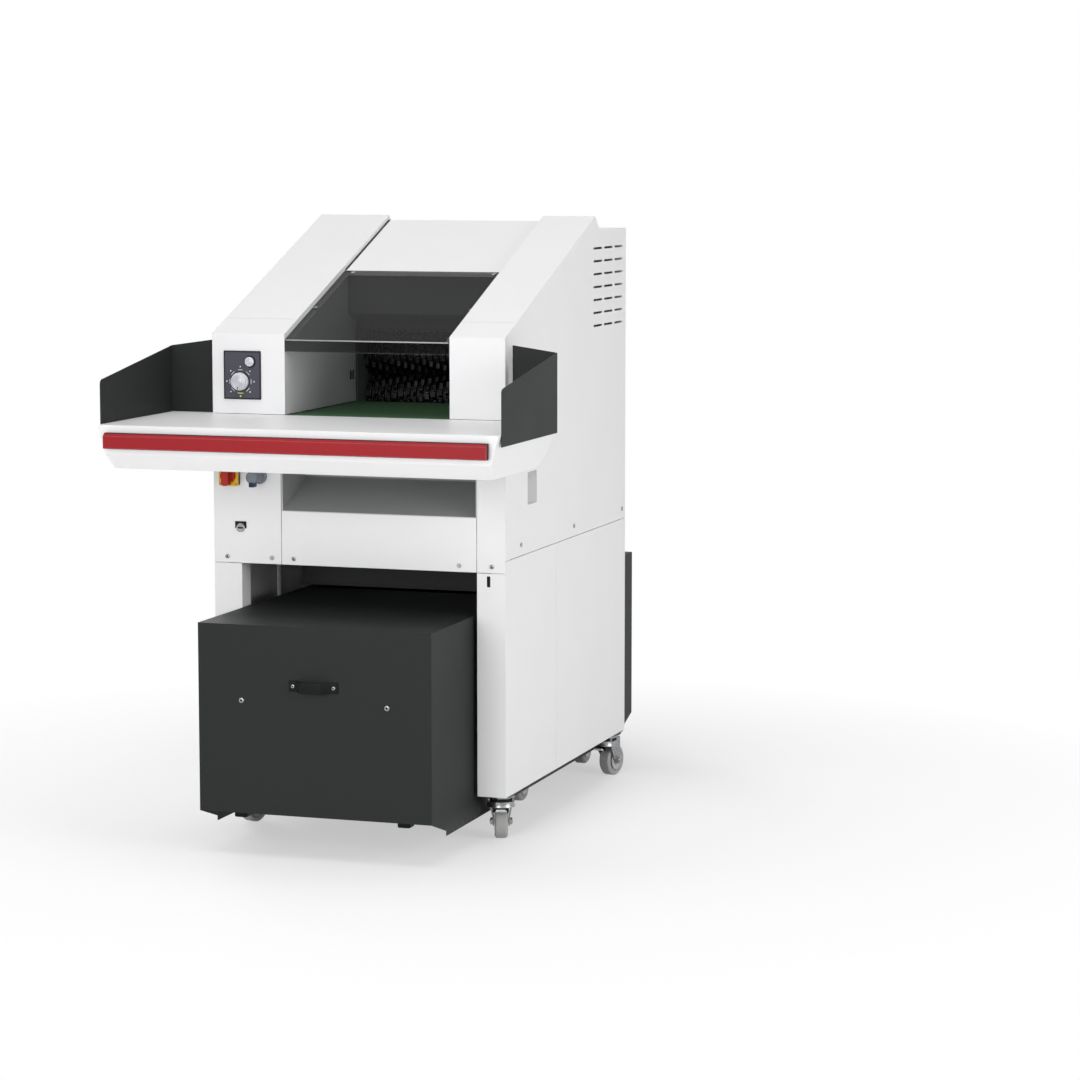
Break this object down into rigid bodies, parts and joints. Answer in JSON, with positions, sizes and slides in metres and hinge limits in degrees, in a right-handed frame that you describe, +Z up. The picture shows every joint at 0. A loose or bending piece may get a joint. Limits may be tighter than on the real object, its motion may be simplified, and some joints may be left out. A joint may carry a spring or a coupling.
{
  "type": "industrial paper shredder",
  "caption": "Industrial paper shredder with a guarded belt feed table, a smoked screen over the throat, a red stop bar, a geared cutting unit and a long rolling collecting container.",
  "frame": {"origin": "on the floor under the middle of the overall box", "axes": "+Z up, -Y towards the operator at the feed table, +X to the operator's right"},
  "size_m": [1.126, 1.995, 1.7],
  "materials": {
    "casing_white": "satin powder coat",
    "frame_grey": "satin powder coat",
    "wall_grey": "satin powder coat",
    "anthracite": "fine textured powder coat",
    "signal_red": "satin powder coat",
    "drive_blue": "semi-gloss machine enamel",
    "plate_grey": "satin machine enamel",
    "dark_grey": "matte powder coat",
    "smoked_acrylic": "clear smoked sheet",
    "panel_film": "matte film",
    "knob_grey": "satin moulded",
    "inlet_grey": "satin moulded",
    "switch_yellow": "moulded",
    "switch_red": "moulded",
    "black_plastic": "moulded",
    "black_metal": "matte black coat",
    "belt_green": "matte belt cover",
    "zinc": "bright zinc plate",
    "steel": "ground steel",
    "tread_grey": "matte grey tread"
  },
  "bodies": {
    "machine": {"base_frame": "frame_grey", "left_column_panel": "casing_white", "right_column_panel": "casing_white", "left_lower_panel": "casing_white", "right_lower_panel": "casing_white", "left_side_cover": "casing_white", "right_side_cover": "casing_white", "left_front_cover": "casing_white", "right_front_cover": "casing_white", "centre_hood": "casing_white", "rear_panel": "casing_white", "service_panel": "casing_white", "chute_panel": "casing_white", "right_front_panel": "casing_white", "feed_table": "casing_white", "left_guard": "anthracite", "right_guard": "anthracite", "safety_screen": "smoked_acrylic", "left_throat_wall": "wall_grey", "right_throat_wall": "wall_grey", "infeed_baffle": "dark_grey", "control_plate": "panel_film", "conveyor_frame": "zinc", "conveyor_belt": "belt_green", "left_bearer_plate": "plate_grey", "right_bearer_plate": "plate_grey", "gearbox": "drive_blue", "drive_motor": "drive_blue", "switch_base": "black_plastic", "switch_plate": "switch_yellow", "power_inlet": "inlet_grey", "cover_screws": "zinc", "caster_plates": "black_metal"},
    "stop_bar": {"stop_bar": "signal_red"},
    "selector_knob": {"selector_knob": "knob_grey"},
    "start_button": {"start_button": "knob_grey"},
    "switch_handle": {"switch_handle": "switch_red"},
    "panel_latch": {"panel_latch": "zinc"},
    "front_roller": {"front_roller": "steel"},
    "rear_roller": {"rear_roller": "steel"},
    "front_right_fork": {"front_right_fork": "zinc"},
    "front_left_fork": {"front_left_fork": "zinc"},
    "rear_right_fork": {"rear_right_fork": "zinc"},
    "rear_left_fork": {"rear_left_fork": "zinc"},
    "front_right_wheel": {"front_right_wheel": "tread_grey"},
    "front_left_wheel": {"front_left_wheel": "tread_grey"},
    "rear_right_wheel": {"rear_right_wheel": "tread_grey"},
    "rear_left_wheel": {"rear_left_wheel": "tread_grey"},
    "mid_right_roller": {"mid_right_roller": "tread_grey"},
    "mid_left_roller": {"mid_left_roller": "tread_grey"},
    "back_right_roller": {"back_right_roller": "tread_grey"},
    "back_left_roller": {"back_left_roller": "tread_grey"},
    "upper_shaft": {"upper_cutting_shaft": "steel", "upper_timing_gear": "steel"},
    "lower_shaft": {"lower_cutting_shaft": "steel", "lower_timing_gear": "steel"},
    "container_body": {"container": "anthracite", "container_handle": "black_plastic", "container_bolts": "zinc", "container_forks": "zinc"}
  },
  "joints": [
    {"name": "stop_bar_press", "type": "slide", "parent": "machine", "child": "stop_bar", "axis": [0, 1, 0], "range_m": [0, 0.004], "stiffness_N_per_m": 4000},
    {"name": "selector_turn", "type": "hinge", "parent": "machine", "child": "selector_knob", "pos_m": [-0.342, -0.5225, 1.258], "axis": [0, 1, 0], "range_deg": [-60, 60]},
    {"name": "start_press", "type": "slide", "parent": "machine", "child": "start_button", "axis": [0, 1, 0], "range_m": [0, 0.003], "stiffness_N_per_m": 400},
    {"name": "main_switch_turn", "type": "hinge", "parent": "machine", "child": "switch_handle", "pos_m": [-0.376, -0.5225, 0.998], "axis": [0, 1, 0], "range_deg": [0, 90]},
    {"name": "latch_turn", "type": "hinge", "parent": "machine", "child": "panel_latch", "pos_m": [-0.347, -0.5225, 0.852], "axis": [0, 1, 0], "range_deg": [0, 90]},
    {"name": "front_roller_spin", "type": "hinge", "parent": "machine", "child": "front_roller", "pos_m": [0.028, -0.4825, 1.1345], "axis": [1, 0, 0], "continuous": true},
    {"name": "rear_roller_spin", "type": "hinge", "parent": "machine", "child": "rear_roller", "pos_m": [0.028, 0.0175, 1.1345], "axis": [1, 0, 0], "continuous": true},
    {"name": "lower_shaft_spin", "type": "hinge", "parent": "machine", "child": "lower_shaft", "pos_m": [0.028, 0.1425, 1.18], "axis": [1, 0, 0], "continuous": true},
    {"name": "upper_shaft_spin", "type": "hinge", "parent": "machine", "child": "upper_shaft", "pos_m": [0.028, 0.1425, 1.3], "axis": [1, 0, 0], "continuous": true},
    {"name": "front_right_swivel", "type": "hinge", "parent": "machine", "child": "front_right_fork", "pos_m": [0.383, -0.4345, 0.125], "axis": [0, 0, -1], "range_deg": [-3, 215]},
    {"name": "front_right_spin", "type": "hinge", "parent": "front_right_fork", "child": "front_right_wheel", "pos_m": [0.37064, -0.39646, 0.047], "axis": [0.9511, 0.309, 0], "continuous": true},
    {"name": "front_left_swivel", "type": "hinge", "parent": "machine", "child": "front_left_fork", "pos_m": [-0.383, -0.4345, 0.125], "axis": [0, 0, 1], "range_deg": [-3, 215]},
    {"name": "front_left_spin", "type": "hinge", "parent": "front_left_fork", "child": "front_left_wheel", "pos_m": [-0.37064, -0.39646, 0.047], "axis": [0.9511, -0.309, 0], "continuous": true},
    {"name": "rear_right_swivel", "type": "hinge", "parent": "machine", "child": "rear_right_fork", "pos_m": [0.383, 0.5455, 0.125], "axis": [0, 0, -1], "range_deg": [-33, 185]},
    {"name": "rear_right_spin", "type": "hinge", "parent": "rear_right_fork", "child": "rear_right_wheel", "pos_m": [0.392, 0.58447, 0.047], "axis": [0.9744, -0.225, 0], "continuous": true},
    {"name": "rear_left_swivel", "type": "hinge", "parent": "machine", "child": "rear_left_fork", "pos_m": [-0.383, 0.5455, 0.125], "axis": [0, 0, 1], "range_deg": [-33, 185]},
    {"name": "rear_left_spin", "type": "hinge", "parent": "rear_left_fork", "child": "rear_left_wheel", "pos_m": [-0.392, 0.58447, 0.047], "axis": [0.9744, 0.225, 0], "continuous": true},
    {"name": "container_pull", "type": "slide", "parent": "machine", "child": "container_body", "axis": [0, -1, 0], "range_m": [0, 1.6]},
    {"name": "mid_right_spin", "type": "hinge", "parent": "container_body", "child": "mid_right_roller", "pos_m": [0.25, 0.1175, 0.047], "axis": [1, 0, 0], "continuous": true},
    {"name": "mid_left_spin", "type": "hinge", "parent": "container_body", "child": "mid_left_roller", "pos_m": [-0.25, 0.1175, 0.047], "axis": [1, 0, 0], "continuous": true},
    {"name": "back_right_spin", "type": "hinge", "parent": "container_body", "child": "back_right_roller", "pos_m": [0.25, 0.7375, 0.047], "axis": [1, 0, 0], "continuous": true},
    {"name": "back_left_spin", "type": "hinge", "parent": "container_body", "child": "back_left_roller", "pos_m": [-0.25, 0.7375, 0.047], "axis": [1, 0, 0], "continuous": true}
  ],
  "couplings": [
    {"joint": "rear_roller_spin", "follows": "front_roller_spin", "ratio": 1},
    {"joint": "upper_shaft_spin", "follows": "lower_shaft_spin", "ratio": -1}
  ]
}
